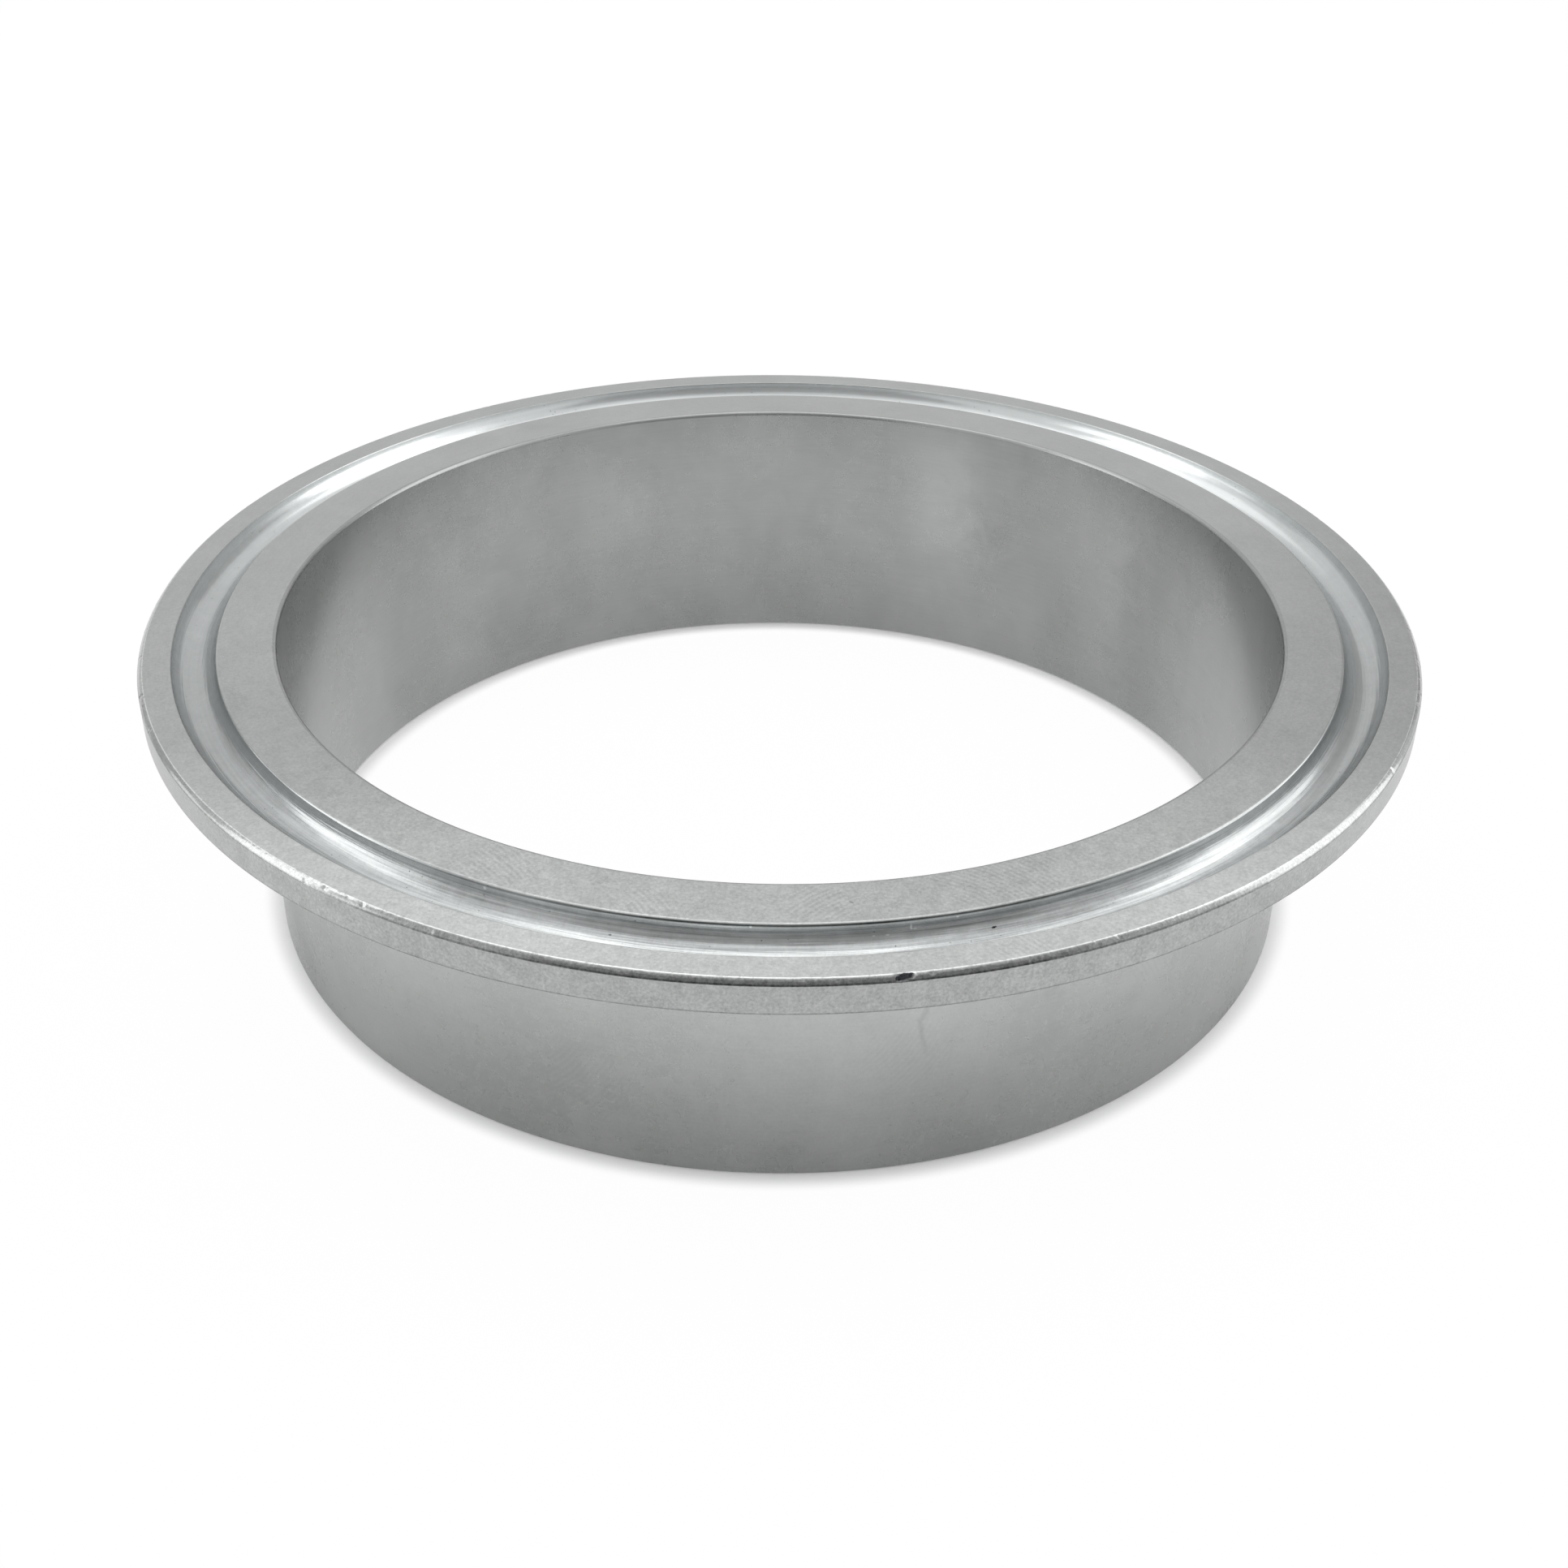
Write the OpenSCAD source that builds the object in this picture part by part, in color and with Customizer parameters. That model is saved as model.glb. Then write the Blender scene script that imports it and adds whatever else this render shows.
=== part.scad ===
// Short weld ferrule for a sanitary pipe clamp, turned from one piece of stainless steel.
// It stands on its weld end, as it would on a bench. The origin is the centre of that end, and +Z points
// along the bore to the face that takes the gasket. All sizes are in millimetres.

/* [Tube] */
// Outside diameter of the tube end that is welded to the pipe
tube_od = 76.2; // [60:0.1:78]
// Thickness of the tube wall
tube_wall = 2; // [1.2:0.1:3]
// Height of the whole ferrule, from the weld end to the gasket face
ferrule_h = 21; // [16:0.5:40]

/* [Flange] */
// How far the flange stands out from the tube, all round
flange_overhang = 7.4; // [6.5:0.1:12]
// Thickness of the flange at its rim
rim_t = 2.3; // [1.5:0.1:4]
// Radius of the rounded upper edge of the rim
rim_edge_r = 0.35; // [0.1:0.05:0.8]
// Slope of the back of the flange from level, in degrees, which the clamp's jaws wedge against
back_slope = 20; // [12:1:30]
// Radius of the blend between the back of the flange and the tube
root_r = 2; // [0.5:0.1:3]

/* [Gasket groove] */
// Width of the flat rim outside the groove
rim_face_w = 2.25; // [1.5:0.05:3]
// Width of the groove at the face
groove_w = 3; // [2.6:0.1:3.6]
// Depth of the groove, whose section is one round arc
groove_depth = 1.45; // [0.8:0.05:1.8]
// Radius of the rounded inner edge of the groove
groove_edge_r = 0.2; // [0.1:0.05:0.4]

/* [Edge breaks] */
// Chamfer on the lower edge of the rim
rim_back_chamfer = 0.05; // [0.05:0.05:0.4]
// Chamfer on both ends of the bore
bore_chamfer = 0.15; // [0.05:0.05:0.4]
// Chamfer on the outer edge of the weld end
weld_chamfer = 0.1; // [0.05:0.05:0.4]

/* [Hidden] */

tube_r = tube_od / 2;
bore_r = tube_r - tube_wall;
flange_r = tube_r + flange_overhang;

// The back of the flange runs from the rim's lower edge, in and down to the tube
rim_back_z = ferrule_h - rim_t;
root_z = rim_back_z - flange_overhang * tan(back_slope);

// The blend touches the tube and the sloped back at this distance from the corner between them
root_reach = root_r * tan((90 - back_slope) / 2);
root_centre = [tube_r + root_r, root_z - root_reach];
root_on_tube = [tube_r, root_z - root_reach];
root_on_back = [tube_r + root_reach * cos(back_slope), root_z + root_reach * sin(back_slope)];

// The rim's upper edge is a quarter round
rim_edge_centre = [flange_r - rim_edge_r, ferrule_h - rim_edge_r];

// The groove's arc spans its width at the face and just reaches its depth
groove_mid_r = flange_r - rim_face_w - groove_w / 2;
groove_arc_r = (pow(groove_w / 2, 2) + pow(groove_depth, 2)) / (2 * groove_depth);
groove_centre = [groove_mid_r, ferrule_h - groove_depth + groove_arc_r];

// The round on its inner edge touches the flat face and runs into the groove's arc, a hair past touching it
blend_overlap = 0.001;
groove_edge_z = ferrule_h - groove_edge_r;
groove_edge_span = groove_arc_r + groove_edge_r - blend_overlap;
groove_edge_reach = sqrt(pow(groove_edge_span, 2) - pow(groove_centre[1] - groove_edge_z, 2));
groove_edge_centre = [groove_mid_r - groove_edge_reach, groove_edge_z];
groove_edge_end = groove_edge_centre + groove_edge_r / groove_edge_span * (groove_centre - groove_edge_centre);

// Smoothness of the round surfaces
turned_fn = 240;
arc_fn = 96;

// Half section of the tube and the flange before the groove and the root blend
module body_section() {
    polygon([
        [bore_r + bore_chamfer, 0],
        [tube_r - weld_chamfer, 0],
        [tube_r, weld_chamfer],
        [tube_r, root_z],
        [flange_r - rim_back_chamfer, rim_back_z - rim_back_chamfer * tan(back_slope)],
        [flange_r, rim_back_z + rim_back_chamfer],
        [flange_r, rim_edge_centre[1]],
        [rim_edge_centre[0], ferrule_h],
        [bore_r + bore_chamfer, ferrule_h],
        [bore_r, ferrule_h - bore_chamfer],
        [bore_r, bore_chamfer]
    ]);
    translate(rim_edge_centre) circle(r = rim_edge_r, $fn = arc_fn);
}

// Concave blend that fills the corner under the flange
module root_section() {
    difference() {
        polygon([[bore_r + bore_chamfer, root_on_tube[1]], root_on_tube, root_centre, root_on_back,
                 [bore_r + bore_chamfer, root_on_back[1]]]);
        translate(root_centre) circle(r = root_r, $fn = arc_fn);
    }
}

// Round groove that the gasket's bead sits in, with its inner edge cut back for the round
module groove_section() {
    translate(groove_centre) circle(r = groove_arc_r, $fn = arc_fn);
    polygon([[groove_edge_centre[0], ferrule_h], groove_edge_end, groove_centre, [groove_mid_r, ferrule_h]]);
}

// Rounded inner edge of the groove
module groove_edge_section() {
    translate(groove_edge_centre) circle(r = groove_edge_r, $fn = arc_fn);
}

// The whole ferrule, turned about its axis
module ferrule() {
    color([0.69, 0.71, 0.70])
        rotate_extrude($fn = turned_fn) {
            difference() {
                union() {
                    body_section();
                    root_section();
                }
                groove_section();
            }
            groove_edge_section();
        }
}

ferrule();
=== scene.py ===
import math

import bpy
import numpy as np
from mathutils import Matrix, Vector


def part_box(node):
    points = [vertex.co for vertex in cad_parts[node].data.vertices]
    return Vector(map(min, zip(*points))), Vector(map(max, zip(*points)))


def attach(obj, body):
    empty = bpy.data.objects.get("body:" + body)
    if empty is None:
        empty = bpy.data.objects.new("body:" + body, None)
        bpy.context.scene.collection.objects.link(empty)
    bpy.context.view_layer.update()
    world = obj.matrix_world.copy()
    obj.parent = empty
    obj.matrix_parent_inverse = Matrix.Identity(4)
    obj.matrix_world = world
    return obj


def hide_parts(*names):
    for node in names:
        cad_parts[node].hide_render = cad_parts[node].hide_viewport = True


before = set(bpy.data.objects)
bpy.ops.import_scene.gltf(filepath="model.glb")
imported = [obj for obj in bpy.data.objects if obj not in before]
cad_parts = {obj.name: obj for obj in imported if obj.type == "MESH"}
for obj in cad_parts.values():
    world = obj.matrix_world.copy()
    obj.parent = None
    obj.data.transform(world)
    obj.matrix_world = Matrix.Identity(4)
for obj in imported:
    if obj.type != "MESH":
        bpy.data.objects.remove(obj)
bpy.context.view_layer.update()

# The sizes of the ferrule, in millimetres. The height and the flange are the solid's own.
MM = 0.001
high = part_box("ferrule")[1]
HEIGHT = high.z / MM
FLANGE_R = high.x / MM
TUBE_R = 38.1
BORE_R = 36.1
RIM_T = 2.3
BACK_SLOPE = math.radians(20)
ROOT_R = 2.0
RIM_EDGE_R = 0.35
RIM_WORN_R = 0.90
GROOVE_MID_R = 41.75
GROOVE_W = 3.0
GROOVE_DEPTH = 1.45
GROOVE_EDGE_R = 0.2
GROOVE_OUT_BREAK = 0.06
BORE_BREAK = 0.15
BORE_EDGE_R = 0.3
WELD_BREAK = 0.1
RIM_BACK_BREAK = 0.12

# Steps round the axis: most rings are coarse, and those at the rim's edge, where the nicks are, are fine
COARSE = 640
FINE = 4 * COARSE

# The fine rings reach this far past both ends of the edge
FINE_MARGIN = 0.12

# A ring this far from each corner keeps the flat next to it flat in the shading
HOLD = 0.015


# The outline that is turned

def line(start, end, steps=1, hold=HOLD):
    """Points along a straight, held back a little from both ends, where the corners are."""
    start, end = Vector(start), Vector(end)
    along = (end - start).normalized()
    first, last = start + along * hold, end - along * hold
    return [first.lerp(last, i / steps) for i in range(steps + 1)]


def arc(centre, radius, begin, finish, steps):
    """Points along an arc. The angles are in degrees, from outwards, by way of upwards."""
    points = []
    for i in range(steps + 1):
        angle = math.radians(begin + (finish - begin) * i / steps)
        points.append(Vector((centre[0] + radius * math.cos(angle), centre[1] + radius * math.sin(angle))))
    return points


def outline():
    """The half section, from the bore's lower edge up the bore, out over the face and down the outside.
    Each point has the number of steps that its ring has round the axis."""
    groove_arc_r = ((GROOVE_W / 2) ** 2 + GROOVE_DEPTH ** 2) / (2 * GROOVE_DEPTH)
    groove_centre = (GROOVE_MID_R, HEIGHT - GROOVE_DEPTH + groove_arc_r)
    edge_drop = groove_centre[1] - (HEIGHT - GROOVE_EDGE_R)
    edge_reach = math.sqrt((groove_arc_r + GROOVE_EDGE_R) ** 2 - edge_drop ** 2)
    edge_centre = (GROOVE_MID_R - edge_reach, HEIGHT - GROOVE_EDGE_R)
    edge_turn = math.degrees(math.atan2(edge_drop, edge_reach))
    outer_turn = math.degrees(math.asin((groove_centre[1] - HEIGHT) / groove_arc_r))

    back_z = HEIGHT - RIM_T
    root_z = back_z - (FLANGE_R - TUBE_R) * math.tan(BACK_SLOPE)
    root_reach = ROOT_R * math.tan((math.pi / 2 - BACK_SLOPE) / 2)
    root_centre = (TUBE_R + ROOT_R, root_z - root_reach)
    root_end = (TUBE_R + root_reach * math.cos(BACK_SLOPE), root_z + root_reach * math.sin(BACK_SLOPE))
    rim_edge = (FLANGE_R - RIM_EDGE_R, HEIGHT - RIM_EDGE_R)
    groove_out_r = GROOVE_MID_R + GROOVE_W / 2
    fine_from_r = rim_edge[0] - FINE_MARGIN
    fine_to_z = rim_edge[1] - FINE_MARGIN

    # Rubbing has flattened the rim's round into a shallow arc between the same two lines
    worn_half = math.asin(RIM_EDGE_R / math.sqrt(2) / RIM_WORN_R)
    worn_shift = RIM_EDGE_R / 2 + RIM_WORN_R * math.cos(worn_half) / math.sqrt(2)
    worn_centre = (FLANGE_R - worn_shift, HEIGHT - worn_shift)
    worn_turn = math.degrees(worn_half)

    bore = line((BORE_R + BORE_BREAK, 0), (BORE_R, BORE_BREAK))
    bore += line((BORE_R, BORE_BREAK), (BORE_R, HEIGHT - BORE_EDGE_R))
    bore += arc((BORE_R + BORE_EDGE_R, HEIGHT - BORE_EDGE_R), BORE_EDGE_R, 180, 90, 6)
    face = line((BORE_R + BORE_EDGE_R, HEIGHT), (edge_centre[0], HEIGHT))
    face += arc(edge_centre, GROOVE_EDGE_R, 90, edge_turn, 7)
    face += arc(groove_centre, groove_arc_r, 180 + edge_turn, 360 - outer_turn - 3, 38)[1:]
    face += arc((groove_out_r + GROOVE_OUT_BREAK, HEIGHT - GROOVE_OUT_BREAK), GROOVE_OUT_BREAK, 180, 90, 3)
    face += line((groove_out_r + GROOVE_OUT_BREAK, HEIGHT), (fine_from_r, HEIGHT))
    rim = [Vector((rim_edge[0] - back, HEIGHT)) for back in (FINE_MARGIN, 0.07, 0.03)]
    rim += arc(worn_centre, RIM_WORN_R, 45 + worn_turn, 45 - worn_turn, 8)
    rim += [Vector((FLANGE_R, rim_edge[1] - HOLD)), Vector((FLANGE_R, fine_to_z))]
    outside = line((FLANGE_R, fine_to_z), (FLANGE_R, back_z + RIM_BACK_BREAK))
    outside += arc((FLANGE_R - RIM_BACK_BREAK, back_z + RIM_BACK_BREAK * 0.6), RIM_BACK_BREAK, 0, -70, 4)
    outside += line((FLANGE_R - RIM_BACK_BREAK, back_z - RIM_BACK_BREAK * 0.6), root_end)
    outside += arc(root_centre, ROOT_R, 90 + math.degrees(BACK_SLOPE), 180, 8)
    outside += line((TUBE_R, root_centre[1]), (TUBE_R, WELD_BREAK))
    outside += line((TUBE_R, WELD_BREAK), (TUBE_R - WELD_BREAK, 0))
    outside += line((TUBE_R - WELD_BREAK, 0), (BORE_R + BORE_BREAK, 0))
    return [(p, COARSE) for p in bore + face] + [(p, FINE) for p in rim] + [(p, COARSE) for p in outside]


# Nicks in the rim's edge, as the photograph shows them. Each has the angle round the axis in degrees,
# with -90 at the front, its width and depth in millimetres, where it sits on the rounded edge, from 0 at
# the face to 1 at the side, how far it reaches along that edge, and how much it leans, in millimetres.
NICKS = [
    (-127.3, 0.20, 0.020, 0.75, 0.45, 0.30),
    (-125.3, 0.34, 0.030, 0.15, 0.50, 0.05),
    (-123.0, 0.18, 0.015, 0.10, 0.30, 0.00),
    (-121.6, 0.34, 0.032, 0.20, 0.50, 0.10),
    (-115.4, 0.35, 0.030, 0.60, 0.60, 0.10),
    (-101.2, 0.16, 0.035, 0.15, 0.40, 0.05),
    (-100.6, 0.16, 0.040, 0.20, 0.50, 0.05),
    (-99.4, 0.12, 0.020, 0.60, 0.90, 0.10),
    (-88.0, 0.20, 0.050, 0.40, 1.00, 0.30),
    (-86.0, 0.16, 0.040, 0.20, 0.50, 0.12),
    (-81.3, 1.15, 0.080, 0.45, 0.90, -0.20),
    (-79.2, 0.24, 0.050, 0.12, 0.50, 0.05),
    (-72.0, 0.14, 0.030, 0.30, 0.70, 0.10),
    (-70.4, 0.20, 0.045, 0.15, 0.45, 0.05),
    (-66.8, 0.20, 0.030, 0.20, 0.50, 0.15),
    (-65.0, 0.22, 0.040, 0.20, 0.55, 0.15),
    (-63.2, 0.14, 0.030, 0.15, 0.40, 0.05),
    (-60.1, 0.14, 0.030, 0.15, 0.40, 0.05),
    (-44.5, 0.14, 0.020, 0.40, 0.80, 0.20),
    (-30.5, 0.25, 0.045, 0.40, 0.80, -0.10),
]
STRAY_NICKS = 46

# The fine unevenness of the worn edge, in waves round the axis, and its size in millimetres
EDGE_WAVES = (120, 210, 330, 480, 660)
EDGE_UNEVEN = 0.0010


def nick_list():
    """The nicks that the photograph shows, and smaller ones round the rest of the rim."""
    chance = np.random.default_rng(7)
    stray = []
    for _ in range(STRAY_NICKS):
        stray.append((chance.uniform(-20, 220), chance.uniform(0.12, 0.32), chance.uniform(0.012, 0.045),
                      chance.uniform(0.05, 0.8), chance.uniform(0.3, 0.8), chance.uniform(-0.2, 0.2)))
    return NICKS + stray


def worn_edge(radius, height, angle):
    """How deep the rim's edge is worn in at each point: nicks, and a fine unevenness all round."""
    run = (HEIGHT - height) - (FLANGE_R - radius) + RIM_EDGE_R
    share = run / (2 * RIM_EDGE_R)
    depth = np.zeros_like(radius)
    for where, width, deep, sits, reach, lean in nick_list():
        offset = np.radians((np.degrees(angle) - where + 180) % 360 - 180) * FLANGE_R
        across = np.clip(1 - np.abs(offset - lean * (share - sits)) / (width / 2), 0, 1)
        along = np.clip(1 - np.abs(share - sits) / reach, 0, 1)
        depth = np.maximum(depth, deep * across ** 0.8 * np.minimum(1, 2.5 * along))
    chance = np.random.default_rng(11)
    rough = np.zeros_like(radius)
    for waves in EDGE_WAVES:
        for k in range(4):
            count = waves + chance.integers(-40, 40)
            rough += np.sin(count * angle + 3 * k * share + chance.uniform(0, 6.3))
    fade = 0.15 + 0.85 * np.clip(1 - np.abs(share - 0.12) / 0.25, 0, 1)
    inside = np.clip(20 * (share + 0.04), 0, 1) * np.clip(8 * (1.02 - share), 0, 1)
    return inside * (1.25 * depth + EDGE_UNEVEN * fade * rough)


def bridge(first, second, count_first, count_second):
    """Faces between two rings, one of which may have a whole number of times the other's points."""
    faces = []
    if count_first == count_second:
        for j in range(count_first):
            k = (j + 1) % count_first
            faces.append((first + j, second + j, second + k, first + k))
        return faces
    few, many = min(count_first, count_second), max(count_first, count_second)
    step = many // few
    for j in range(few):
        k = (j + 1) % few
        coarse, dense = (first, second) if count_first == few else (second, first)
        fan = [dense + (j * step + i) % many for i in range(step + 1)]
        half = step // 2
        made = [(coarse + j, fan[i], fan[i + 1]) for i in range(half)]
        made.append((coarse + j, fan[half], coarse + k))
        made += [(coarse + k, fan[i], fan[i + 1]) for i in range(half, step)]
        faces += made if count_first == few else [face[::-1] for face in made]
    return faces


def turned_piece():
    """The ferrule as one closed mesh, turned from its outline, with its worn rim."""
    points, starts, faces = [], [], []
    rings = outline()
    total = 0
    for place, count in rings:
        angle = np.arange(count) * (2 * math.pi / count) - math.pi
        radius = np.full(count, place.x)
        height = np.full(count, place.y)
        if count == FINE:
            depth = worn_edge(radius, height, angle)
            # The wear goes in along the way that the edge faces there
            out = np.clip((place.x - (FLANGE_R - RIM_EDGE_R)) / RIM_EDGE_R, 0, 1)
            up = math.sqrt(max(0.0, 1 - out ** 2)) if place.y > HEIGHT - RIM_EDGE_R else 0.0
            radius = radius - depth * out
            height = height - depth * up
        points.append(np.stack([radius * np.cos(angle), radius * np.sin(angle), height], 1))
        starts.append(total)
        total += count
    for i in range(len(rings)):
        j = (i + 1) % len(rings)
        faces += bridge(starts[i], starts[j], rings[i][1], rings[j][1])
    mesh = bpy.data.meshes.new("turned_ferrule")
    mesh.from_pydata((np.concatenate(points) * MM).tolist(), [], faces)
    mesh.validate()
    mesh.shade_smooth()
    piece = bpy.data.objects.new("turned_ferrule", mesh)
    bpy.context.scene.collection.objects.link(piece)
    return piece


# Shader sums

class Value:
    """A number, colour or vector on its way through a material's nodes. Sums on it add Math nodes."""

    def __init__(self, finish, socket):
        self.finish = finish
        self.socket = socket

    def __add__(self, other):
        return self.finish.maths("ADD", self, other)

    __radd__ = __add__

    def __sub__(self, other):
        return self.finish.maths("SUBTRACT", self, other)

    def __rsub__(self, other):
        return self.finish.maths("SUBTRACT", other, self)

    def __mul__(self, other):
        return self.finish.maths("MULTIPLY", self, other)

    __rmul__ = __mul__

    def __truediv__(self, other):
        return self.finish.maths("DIVIDE", self, other)

    def __pow__(self, other):
        return self.finish.maths("POWER", self, other)

    def __abs__(self):
        return self.finish.maths("ABSOLUTE", self)


class Finish:
    """A material under construction."""

    def __init__(self, name):
        self.material = bpy.data.materials.new(name)
        self.material.use_nodes = True
        self.tree = self.material.node_tree
        self.tree.nodes.clear()

    def node(self, kind, settings=None, inputs=None, out=0):
        """Adds a node, with its settings first and then the values or links of its sockets."""
        made = self.tree.nodes.new(kind)
        for name, value in (settings or {}).items():
            setattr(made, name, value)
        for name, value in (inputs or {}).items():
            if isinstance(value, Value):
                self.tree.links.new(value.socket, made.inputs[name])
            else:
                made.inputs[name].default_value = value
        return Value(self, made.outputs[out]) if made.outputs else None

    def maths(self, operation, *terms):
        return self.node("ShaderNodeMath", {"operation": operation}, dict(enumerate(terms)))

    def step(self, value, begin, end):
        """0 below begin, 1 above end, smooth between."""
        return self.node("ShaderNodeMapRange", {"interpolation_type": "SMOOTHSTEP"},
                         {"Value": value, "From Min": begin, "From Max": end})

    def between(self, value, begin, end, soft):
        """1 between begin and end, with soft borders."""
        return self.step(value, begin - soft, begin + soft) * (1 - self.step(value, end - soft, end + soft))

    def vector(self, x, y, z):
        return self.node("ShaderNodeCombineXYZ", None, {"X": x, "Y": y, "Z": z})

    def millimetres(self, place):
        """A place in metres as three numbers in millimetres."""
        return [self.node("ShaderNodeSeparateXYZ", None, {0: place}, out=i) * (1 / MM) for i in range(3)]

    def distance(self, first, second=(0, 0, 0)):
        return self.node("ShaderNodeVectorMath", {"operation": "DISTANCE"}, {0: first, 1: second},
                         out="Value")

    def noise(self, place, scale, detail=2.0, rough=0.5, warp=0.0):
        return self.node("ShaderNodeTexNoise", None, {"Vector": place, "Scale": scale, "Detail": detail,
                                                      "Roughness": rough, "Distortion": warp})

    def mix(self, share, first, second, blend="MIX"):
        """A colour between two colours."""
        return self.node("ShaderNodeMix", {"data_type": "RGBA", "blend_type": blend},
                         {0: share, 6: first, 7: second}, out=2)


# Finishes

STEEL = (0.447, 0.457, 0.452, 1.0)
PIT_COLOUR = (0.055, 0.057, 0.062, 1.0)
CHIP_COLOUR = (0.018, 0.020, 0.026, 1.0)

# Small marks in the gasket groove: degrees round from the front, millimetres outwards and down from the
# bore's centre at the face, half the length along the turn, half the width, and how much brighter it is
GROOVE_MARKS = [
    (-2.2, 40.46, 0.10, 0.09, 0.6),
    (10.8, 40.86, 0.08, 0.26, 0.8),
    (11.1, 41.05, 0.16, 0.07, 0.6),
    (14.7, 40.58, 0.12, 0.08, 0.5),
    (7.7, 41.35, 0.10, 0.06, 0.5),
    (8.8, 41.35, 0.16, 0.08, 0.5),
    (17.7, 41.86, 0.22, 0.13, -0.85),
    (-13.5, 42.10, 0.12, 0.10, -0.6),
    (-25.0, 40.60, 0.15, 0.14, 0.6),
]

# Rings of painted shade and painted highlight on the groove's inner wall, shown at the front: where each
# begins and ends, in millimetres outwards and down from the bore's centre at the face, and how much brighter
# it is
PAINTED_GROOVE_RINGS = [
    (40.30, 40.44, -0.75),
    (40.48, 40.60, 0.22),
    (40.76, 40.90, -0.20),
    (41.22, 41.32, -0.15),
]

# Soft bands that lie along the bore: degrees round from the front, half the width in degrees, the lower
# and upper end in millimetres, and how much brighter it is
BORE_BANDS = [
    (130, 4, 1, 19, 0.09),
    (144, 5, 7, 20, -0.09),
    (157, 4, 9, 20, 0.11),
    (-155, 4, 10, 17, 0.07),
    (-130, 5, 2, 14, 0.08),
]

# Ragged lighter and darker patches on the outside of the tube: the middle, the reach and how much brighter
# it is
TUBE_PATCHES = [
    ((-1.7, -38.1, 16.2), 3.4, 0.10),
    ((-6.5, -37.5, 15.8), 2.6, 0.06),
    ((4.6, -37.8, 14.6), 3.0, -0.07),
    ((9.0, -37.0, 12.0), 2.6, 0.05),
    ((-12.5, -36.0, 12.5), 4.0, 0.05),
    ((19.0, -33.0, 14.0), 3.5, -0.05),
]

# Patches of fine arcs that rubbing left. Each has its middle, its reach, and the middle of its arcs.
RUBBED = [
    ((2.6, -38.2, 21), 2.8, (12, -49, 21)),
    ((13, -35.6, 21), 5.0, (6, -44, 21)),
    ((13.7, -42.2, 21), 2.2, (3, -52, 21)),
    ((-16.5, -34.5, 21), 3.0, (-30, -46, 21)),
    ((-7.5, -38.3, 21), 2.0, (-16, -44, 21)),
    ((7.8, -37.3, 9), 3.6, (0, -39, 15)),
    ((-12, -36.2, 6), 4.0, (-22, -36, 14)),
    ((24, -29.5, 12), 4.0, (12, -32, 4)),
]
RUB_PITCH = 0.36

# The dark chip on the rim's edge: degrees round from the front, millimetres below the face, and its half
# length and half height
CHIP = (8.75, 0.16, 0.58, 0.14)

# A dark dash on the land, by its middle and its half length and half width, and a streak down the tube,
# in degrees round from the front
DASH = (4.2, -38.07, 0.2, 0.06)
STREAK = (13.4, 13.8)


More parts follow.
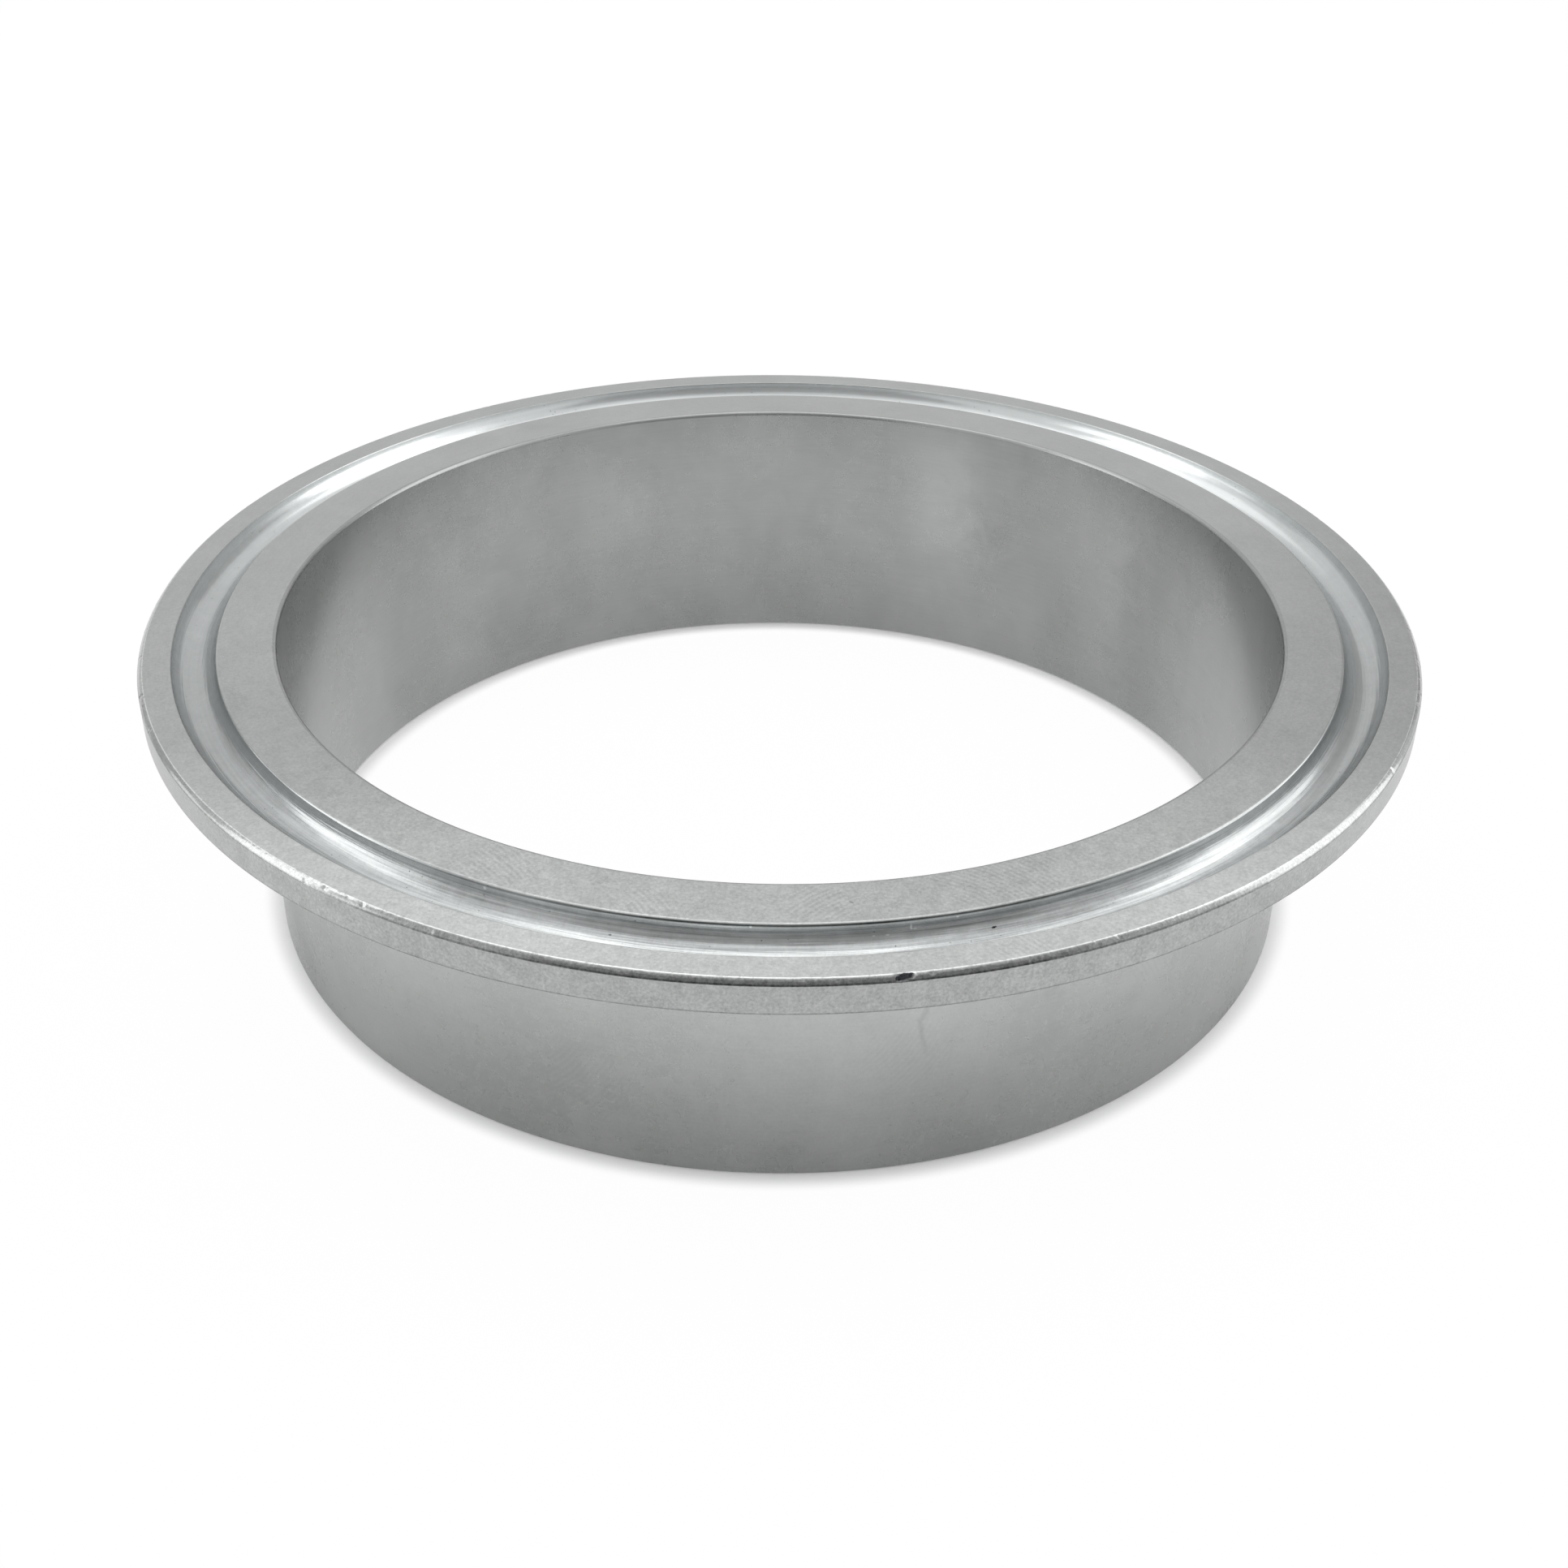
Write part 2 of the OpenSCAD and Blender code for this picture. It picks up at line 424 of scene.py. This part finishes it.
def turned_steel():
    """Turned and lightly rubbed stainless steel. Its zones follow the outline, by radius and height."""
    f = Finish("turned_steel")
    x, y, z = f.millimetres(f.node("ShaderNodeTexCoord", out="Object"))
    radius = (x * x + y * y) ** 0.5
    around_x = x / radius
    around_y = y / radius
    place = f.vector(x, y, z)
    drop = HEIGHT - z
    near = 0 - y

    # Degrees and millimetres round from the front, and millimetres across the outline. The second way
    # across starts at the bore's centre at the face, and goes outwards and down.
    rim_degree = math.radians(1) * FLANGE_R
    turn = f.maths("ARCTAN2", x, near) * (180 / math.pi)
    along = turn * rim_degree
    across = radius - z
    outward = radius + drop
    front = f.step(near, -25, 15)
    foremost = f.step(near, 18, 38)
    foreground = f.between(turn, -25, 30, 14)

    # Zones
    on_face = 1 - f.step(drop, 0.01, 0.04)
    on_rim_face = on_face * f.step(radius, 43.2, 43.4)
    on_land = on_face * (1 - on_rim_face)
    in_groove = f.between(radius, 40.05, 43.25, 0.03) * (1 - on_face) * (1 - f.step(drop, 1.9, 2))
    on_bore = 1 - f.step(radius, BORE_R + 0.02, BORE_R + 0.06)
    on_bore_edge = f.between(radius, BORE_R + 0.03, BORE_R + 0.28, 0.02) * (1 - f.step(drop, 0.25, 0.3))
    on_side = f.step(radius, FLANGE_R - 0.45, FLANGE_R - 0.36)
    below_edge = f.step(drop, 0.34, 0.40)
    on_edge = on_side * (1 - on_face) * (1 - below_edge)
    on_band = on_side * below_edge
    on_tube = (1 - f.step(z, 18.4, 18.7)) * f.step(radius, TUBE_R - 0.05, TUBE_R)

    # Painted shade: thin dark lines along both corners of the rim's side. Painted highlight: a bright line,
    # here and there, on its edge towards the front
    grain = f.noise(place, 5.5, 3.0, 0.7)
    painted_corner_shade = (f.between(drop, 0.26, 0.36, 0.03) + f.between(z, 18.70, 18.80, 0.02)) * on_side
    painted_edge_highlight = f.between(radius, FLANGE_R - 0.39, FLANGE_R - 0.33, 0.02) * f.step(grain, 0.34, 0.46) * front

    # Tool marks run round the axis: long along the turn and fine across it
    groove_z = HEIGHT - GROOVE_DEPTH + ((GROOVE_W / 2) ** 2 + GROOVE_DEPTH ** 2) / (2 * GROOVE_DEPTH)
    section = f.maths("ARCTAN2", z - groove_z, radius - GROOVE_MID_R)
    marks = f.noise(f.vector(around_x * 12, around_y * 12, across * 6), 1.0, 2.0, 0.6)
    groove_marks = f.noise(f.vector(around_x * 5, around_y * 5, section * 7.5), 1.0, 2.0, 0.6)
    groove_rings = f.noise(f.vector(around_x * 1.2, around_y * 1.2, section * 10), 1.0, 2.0, 0.6)

    # Soft bands lie along the bore and the tube
    bands = f.noise(f.vector(around_x * 3.6, around_y * 3.6, z * 0.05), 1.0, 3.0, 0.6)

    # Rubbing leaves a fine grain, and clouds that are wider than it
    mottle = f.noise(place, 1.1, 3.0, 0.6, 0.3)
    cloud = f.noise(place, 0.26, 5.0, 0.62, 0.8)
    wide_cloud = f.noise(place, 0.10, 2.0, 0.5, 0.4)

    # Short scratches, crosswise in two directions
    scratch_1 = f.noise(f.vector(along * 0.5 + across * 0.5, across * 5 - along * 2.5, 0.0), 1.0, 1.0, 0.5)
    scratch_2 = f.noise(f.vector(along * 0.4 - across * 0.7, across * 4 + along * 3.5, 7.0), 1.0, 1.0, 0.5)
    scratch = f.step(scratch_1, 0.70, 0.78) + f.step(scratch_2, 0.70, 0.78)

    # The arcs of the rubbed patches
    rubbed = 0.0
    for middle, reach, arcs_middle in RUBBED:
        away = f.distance(place, middle) + (mottle - 0.5) * reach
        wave = f.maths("SINE", f.distance(place, arcs_middle) * (2 * math.pi / RUB_PITCH) + mottle * 5)
        rubbed = wave * (1 - f.step(away, reach * 0.5, reach)) + rubbed
    rubbed = rubbed * (0.4 + grain) * (1 - in_groove)

    # The lighter and darker patches on the tube, ragged like the clouds
    tube_patch = 0.0
    for middle, reach, brighter in TUBE_PATCHES:
        ragged = f.distance(place, middle) + (cloud - 0.5) * reach * 2.5 + (mottle - 0.5) * reach
        tube_patch = (1 - f.step(ragged, reach * 0.45, reach * 0.85)) * brighter + tube_patch

    # Pits in the groove
    pit_cells = f.node("ShaderNodeTexVoronoi", {"feature": "F1"}, {"Vector": place, "Scale": 1.7},
                       out="Distance")
    pit = (1 - f.step(pit_cells, 0.04, 0.08)) * f.step(f.noise(place, 0.4, 1.0, 0.5), 0.44, 0.54) * in_groove

    # The chip, and its bright right end
    chip_turn, chip_drop, chip_length, chip_height = CHIP
    chip_along = (turn - chip_turn) * rim_degree
    chip_up = chip_drop - drop - chip_along * 0.12
    chip_away = f.distance(f.vector(chip_along / chip_length, chip_up / chip_height, 0.0))
    chip_away = chip_away + (f.noise(place, 3.0, 2.0, 0.6) - 0.5) * 1.1
    chip = (1 - f.step(chip_away, 0.7, 1.0)) * on_side
    chip_lip = f.between(chip_away, 0.95, 1.25, 0.1) * f.step(chip_along, 0.30, 0.50) * on_side

    # The small marks in the groove, and the rings of painted shade and painted highlight at its front
    groove_marks_and_painted_rings = 0.0
    for degrees, mark_out, half_length, half_width, brighter in GROOVE_MARKS:
        mark_along = (turn - degrees) * (math.radians(1) * GROOVE_MID_R / half_length)
        mark_away = f.distance(f.vector(mark_along, (outward - mark_out) / half_width, 0.0))
        groove_marks_and_painted_rings = (1 - f.step(mark_away + (grain - 0.5) * 2, 0.5, 1.0)) * brighter + groove_marks_and_painted_rings
    for begin, end, brighter in PAINTED_GROOVE_RINGS:
        groove_marks_and_painted_rings = f.between(outward, begin, end, 0.04) * foreground * brighter + groove_marks_and_painted_rings

    # The bands in the bore
    bore_shine = 0.0
    ragged_turn = turn + (cloud - 0.5) * 9
    for degrees, half_width, begin, end, brighter in BORE_BANDS:
        band = f.between(ragged_turn, degrees - half_width, degrees + half_width, half_width * 0.9)
        bore_shine = band * f.between(z, begin, end, 2.5) * brighter + bore_shine

    # The dash on the land and the streak down the tube
    dash_x, dash_y, dash_length, dash_width = DASH
    dash_x, dash_y = x - dash_x, y - dash_y
    dash_place = f.vector((dash_x * 0.8 - dash_y * 0.6) / dash_length,
                          (dash_x * 0.6 + dash_y * 0.8) / dash_width, 0.0)
    dash = 1 - f.step(f.distance(dash_place), 0.7, 1.1)
    streak = f.between(turn + (cloud - 0.5) * 3, *STREAK, 0.2) * f.between(z, 9.5, 18.3, 1.5)

    # Brightness, about 1. The grain shows most near the camera.
    depth = 0.25 + front * 0.40 + foremost * 0.60
    tone = 1 + (grain - 0.5) * depth * (0.76 - on_bore * 0.70 - on_tube * 0.58 - in_groove * 0.56)
    tone = tone + (mottle - 0.5) * depth * (0.26 + on_band * 0.10 - on_bore * 0.22 - on_tube * 0.16)
    tone = tone + (cloud - 0.5) * 0.16 + (wide_cloud - 0.5) * 0.14
    tone = tone + (bands - 0.5) * (on_bore * 0.30 + on_tube * 0.28)
    tone = tone + (marks - 0.5) * (1 - in_groove) * 0.10
    tone = tone + rubbed * (0.07 - on_tube * 0.045) + scratch * (on_band + on_face * 0.7) * 0.045
    # Painted light and shade: the rim's face and the land are lighter towards the front and darker at the
    # back, and the land is darker at the front left and front right
    tone = tone + on_rim_face * foremost * 0.16 + on_face * (foremost - 0.35) * 0.08
    tone = tone - on_land * f.between(near, 14, 34, 7) * 0.07 - dash * on_face * 0.35
    # Painted shade: the rim's rounded edge is darker, most of all at the front
    tone = tone - on_edge * (0.04 + foreground * 0.38) * f.step(drop, 0.02, 0.08)
    # Painted highlight on the rim's edge, and painted shade along both corners of its side
    tone = tone + painted_edge_highlight * 0.55 - painted_corner_shade * 0.28 - on_band * 0.04 + chip_lip * 0.5
    # Painted light: the tube is lighter higher up and towards its left and right sides
    tone = tone + on_tube * (f.step(z, 0, 11) * 0.13 + around_x * around_x * 0.18 + tube_patch - streak * 0.16)
    # Painted light and shade: the bore is darker all over, and lighter at its far left and far right
    tone = tone + on_bore * (f.step(abs(around_x), 0.86, 0.99) * 0.18 - 0.13 + bore_shine)
    # Painted shade: the bore's rounded top edge is darker, which dims its highlight
    tone = tone - on_bore_edge * 0.22
    # Painted highlights: the groove is lighter at the back, and more so towards the back left and back right
    groove_tone = (1 - front) * (0.24 + abs(around_x) * 0.26) + f.between(y, 18, 38, 8) * 0.22
    groove_tone = groove_tone + (groove_marks - 0.5) * (0.15 + foremost * 1.1) + groove_marks_and_painted_rings
    tone = tone + in_groove * groove_tone

    # Colour
    tinted = f.vector(tone * (1 - in_groove * 0.012), tone, tone * (1 + in_groove * 0.010))
    colour = f.mix(1.0, STEEL, tinted, "MULTIPLY")
    colour = f.mix(pit * 0.9, colour, PIT_COLOUR)
    colour = f.mix(chip * (0.55 + grain * 0.7), colour, CHIP_COLOUR)

    # Roughness
    rough = 0.31 + (wide_cloud - 0.5) * 0.12 + (mottle - 0.5) * 0.10
    rough = rough + on_band * 0.04 - on_tube * 0.03 - on_bore * 0.03
    rough = rough - in_groove * 0.10 - on_edge * 0.15 + chip * 0.3

    # Height, in micrometres
    height = (grain - 0.5) * (2.0 + on_band * 1.5 - on_bore * 1.8 - on_edge * 1.0)
    height = height + (marks - 0.5) * (1 - in_groove) * (1.5 + on_edge * 6.0)
    height = height + (groove_marks - 0.5) * in_groove * (3.0 + front * 15.0)
    height = height + (groove_rings - 0.5) * in_groove * (2.0 + front * 9.0)
    height = height + chip * (grain - 0.5) * 60

    normal = f.node("ShaderNodeBump", None, {"Strength": 1.0, "Distance": 1e-6, "Height": height})
    shader = f.node("ShaderNodeBsdfPrincipled", None, {
        "Base Color": colour, "Roughness": rough, "Metallic": 1.0, "Normal": normal,
        "Anisotropic": 0.65, "Anisotropic Rotation": 0.25})
    f.node("ShaderNodeOutputMaterial", None, {"Surface": shader})
    return f.material


def plain(name, colour):
    """A matt surface of the stage."""
    f = Finish(name)
    shader = f.node("ShaderNodeBsdfDiffuse", None, {"Color": (*colour, 1.0)})
    f.node("ShaderNodeOutputMaterial", None, {"Surface": shader})
    return f.material


def white_floor():
    """White paper. The camera and the steel see it nearly white, but for the shade at the ferrule's foot."""
    f = Finish("floor")
    camera_ray = f.node("ShaderNodeLightPath", out="Is Camera Ray")
    glossy_ray = f.node("ShaderNodeLightPath", out="Is Glossy Ray")
    transmitted_ray = f.node("ShaderNodeLightPath", out="Is Transmission Ray")
    x, y, _ = f.millimetres(f.node("ShaderNodeNewGeometry", out="Position"))
    radius = (x * x + y * y) ** 0.5
    outside = f.step(radius, BORE_R, TUBE_R)
    gap = abs(radius - (BORE_R + TUBE_R) / 2) - (TUBE_R - BORE_R) / 2
    seen = camera_ray * (0.20 + f.step(gap, 0, 1.6) * 0.77)
    mirrored = (glossy_ray + transmitted_ray) * (0.35 + outside * (f.step(gap, 2, 30) * 0.65 - 0.35))
    paper = f.node("ShaderNodeBsdfDiffuse", None, {"Color": (0.95, 0.95, 0.95, 1.0)})
    white = f.node("ShaderNodeEmission", None, {"Color": (1.0, 1.0, 1.0, 1.0), "Strength": 1.0})
    shader = f.node("ShaderNodeMixShader", None, {0: seen + mirrored, 1: paper, 2: white})
    f.node("ShaderNodeOutputMaterial", None, {"Surface": shader})
    return f.material


# The stage

def sheet(name, corners, material):
    """A flat stage surface."""
    mesh = bpy.data.meshes.new(name)
    mesh.from_pydata(corners, [], [tuple(range(len(corners)))])
    mesh.materials.append(material)
    made = bpy.data.objects.new(name, mesh)
    bpy.context.scene.collection.objects.link(made)
    return made


def dome_place(azimuth, elevation, distance):
    """A place round the ferrule. The azimuth is from +X by way of +Y."""
    a, e = math.radians(azimuth), math.radians(elevation)
    return Vector((math.cos(a) * math.cos(e), math.sin(a) * math.cos(e), math.sin(e))) * distance


def softbox(name, centre, width, height, brightness, aim=(0, 0, 0.02), lean=0.0):
    """An area lamp. Its brightness, where 1 is white, adds to the world's. It leans in its own plane."""
    lamp = bpy.data.lights.new(name, "AREA")
    lamp.shape = "RECTANGLE"
    lamp.size, lamp.size_y = width, height
    lamp.energy = brightness * math.pi * width * height
    made = bpy.data.objects.new(name, lamp)
    made.location = centre
    made.rotation_mode = "QUATERNION"
    facing = (Vector(centre) - Vector(aim)).to_track_quat("Z", "Y")
    made.rotation_quaternion = facing @ Matrix.Rotation(math.radians(lean), 3, "Z").to_quaternion()
    bpy.context.scene.collection.objects.link(made)
    return made


def card(name, azimuth, elevation, width, height, colour):
    """A grey card out of the picture, which darkens what the steel reflects."""
    centre = dome_place(azimuth, elevation, 0.5)
    turn = centre.to_track_quat("Z", "Y").to_matrix()
    side, up = turn @ Vector((1, 0, 0)) * width / 2, turn @ Vector((0, 1, 0)) * height / 2
    corners = [centre - side - up, centre + side - up, centre + side + up, centre - side + up]
    made = sheet(name, corners, plain(name, (colour,) * 3))
    made.visible_camera = False
    return made


def stage():
    reach = 3.0
    floor = sheet("floor", [(-reach, -reach, 0), (reach, -reach, 0), (reach, reach, 0), (-reach, reach, 0)],
                  white_floor())
    floor.location.z = -0.00005

    world = bpy.data.worlds.new("studio")
    bpy.context.scene.world = world
    world.use_nodes = True
    backdrop = world.node_tree.nodes["Background"]
    backdrop.inputs["Color"].default_value = (1, 1, 1, 1)
    backdrop.inputs["Strength"].default_value = 0.86

    softbox("softbox_right", (0.50, 0.12, 0.40), 0.30, 0.78, 1.3, aim=(0, 0.12, 0.40), lean=-12)
    softbox("softbox_right_low", (0.50, -0.07, 0.35), 0.16, 0.60, 0.3, aim=(0, -0.07, 0.35))
    softbox("softbox_left", (-0.50, 0.03, 0.40), 0.18, 0.78, 1.35, aim=(0, 0.03, 0.40), lean=14)
    softbox("softbox_left_foot", (-0.50, 0.08, 0.07), 0.24, 0.13, 0.7, aim=(0, 0.08, 0.07))
    softbox("softbox_right_foot", (0.50, 0.12, 0.07), 0.26, 0.13, 0.7, aim=(0, 0.12, 0.07))
    softbox("softbox_left_low", (-0.48, -0.16, 0.18), 0.10, 0.36, 0.7, aim=(0, 0, 0.18))
    softbox("softbox_high_right", dome_place(42, 53, 0.66), 0.36, 0.20, 0.75)
    softbox("softbox_back", dome_place(125, 50, 0.70), 0.50, 0.22, 0.35)
    softbox("softbox_top", (-0.05, 0.17, 0.60), 0.34, 0.24, 1.2, aim=(-0.05, 0.17, 0))
    softbox("overhead", (-0.05, 0.05, 0.86), 0.9, 0.9, 0.3, aim=(-0.05, 0.05, 0))
    card("card_front", 277, 9, 0.66, 0.26, 0.38)
    card("card_front_high", 275, 39, 0.74, 0.30, 0.46)
    card("card_back_right", 51, 17, 0.26, 0.30, 0.50)
    card("card_back_left", 151, 13, 0.15, 0.24, 0.62)


# The camera, which stands where the photograph was taken from

PHOTO_SIZE = 1932
FOCAL_PIXELS = 2484.1
CAMERA_DISTANCE = 0.14828
CAMERA_ELEVATION = math.radians(27.014)
CAMERA_ROLL = -0.0090
CAMERA_PAN = -0.0024
CAMERA_TILT = -0.0917


def camera():
    """Looks at the middle of the flange's face, then turns by the pan, the tilt and the roll."""
    towards = Vector((0, math.cos(CAMERA_ELEVATION), -math.sin(CAMERA_ELEVATION)))
    right = Vector((1, 0, 0))
    up = right.cross(towards)
    pan = Matrix.Rotation(CAMERA_PAN, 3, up)
    towards, right = pan @ towards, pan @ right
    tilt = Matrix.Rotation(CAMERA_TILT, 3, right)
    towards, up = tilt @ towards, tilt @ up
    roll = Matrix.Rotation(CAMERA_ROLL, 3, towards)
    right, up = roll @ right, roll @ up
    data = bpy.data.cameras.new("camera")
    data.sensor_width = 36.0
    data.lens = FOCAL_PIXELS / PHOTO_SIZE * data.sensor_width
    data.clip_start = 0.005
    made = bpy.data.objects.new("camera", data)
    made.rotation_mode = "QUATERNION"
    made.rotation_quaternion = Matrix((right, up, -towards)).transposed().to_quaternion()
    made.location = Vector((0, -math.cos(CAMERA_ELEVATION), math.sin(CAMERA_ELEVATION))) * CAMERA_DISTANCE
    made.location.z += HEIGHT * MM
    bpy.context.scene.collection.objects.link(made)
    bpy.context.scene.camera = made


camera()
stage()
bpy.context.scene.view_settings.view_transform = "Standard"

ferrule = turned_piece()
ferrule.data.materials.append(turned_steel())
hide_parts("ferrule")
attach(ferrule, "root")
